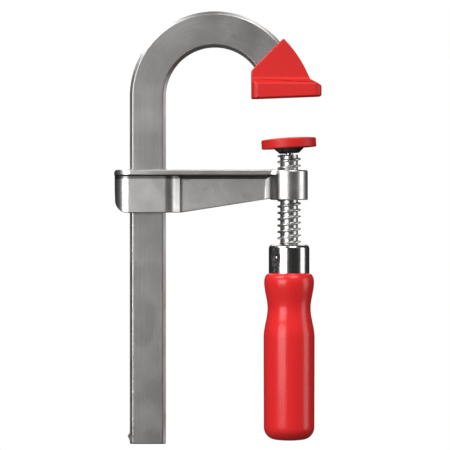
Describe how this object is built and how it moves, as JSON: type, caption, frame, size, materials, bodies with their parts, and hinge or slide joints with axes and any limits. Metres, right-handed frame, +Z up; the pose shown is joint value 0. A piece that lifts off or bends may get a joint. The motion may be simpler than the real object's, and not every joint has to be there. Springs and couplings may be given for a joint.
{
  "type": "bar clamp",
  "caption": "Hooked-rail bar clamp with a cast arm that slides along the rail, a hand screw with a wooden handle and a swivelling pressure pad.",
  "frame": {"origin": "where the spindle's axis meets the face of the fixed jaw", "axes": "+X from the rail to the spindle, +Y away from the front, +Z up along the rail, towards the hook"},
  "size_m": [0.1145, 0.0302, 0.2388],
  "materials": {
    "rail_steel": "rolled bright steel, satin with fine lengthwise streaks",
    "jaw_plastic": "moulded red plastic, slightly matte",
    "arm_zinc": "die-cast zinc alloy, satin silver grey",
    "spindle_steel": "bright rolled steel",
    "plate_steel": "dark pressed steel",
    "ferrule_steel": "polished nickel-plated steel",
    "handle_wood": "turned hardwood under red gloss lacquer"
  },
  "bodies": {
    "rail": {"rail": "rail_steel", "fixed_jaw_cap": "jaw_plastic"},
    "arm": {"sliding_arm": "arm_zinc"},
    "pad_seat": {"retaining_ring": "plate_steel"},
    "screw": {"spindle": "spindle_steel", "ferrule": "ferrule_steel", "handle": "handle_wood", "handle_pin": "spindle_steel"},
    "pad": {"swivel_plate": "plate_steel", "pad_cap": "jaw_plastic"}
  },
  "joints": [
    {"name": "arm_slide", "type": "slide", "parent": "rail", "child": "arm", "axis": [0, 0, 1], "range_m": [-0.1208, 0]},
    {"name": "spindle_feed", "type": "slide", "parent": "arm", "child": "pad_seat", "axis": [0, 0, 1], "range_m": [-0.0077, 0.0194]},
    {"name": "spindle_turn", "type": "hinge", "parent": "pad_seat", "child": "screw", "pos_m": [0, 0, -0.06], "axis": [0, 0, 1], "range_deg": [-800, 2000]},
    {"name": "pad_tilt", "type": "hinge", "parent": "pad_seat", "child": "pad", "pos_m": [0, 0, -0.028], "axis": [0, 1, 0], "range_deg": [-3.6, 10.4]}
  ],
  "couplings": [
    {"joint": "spindle_turn", "follows": "spindle_feed", "rad_per_m": 1795.2}
  ]
}
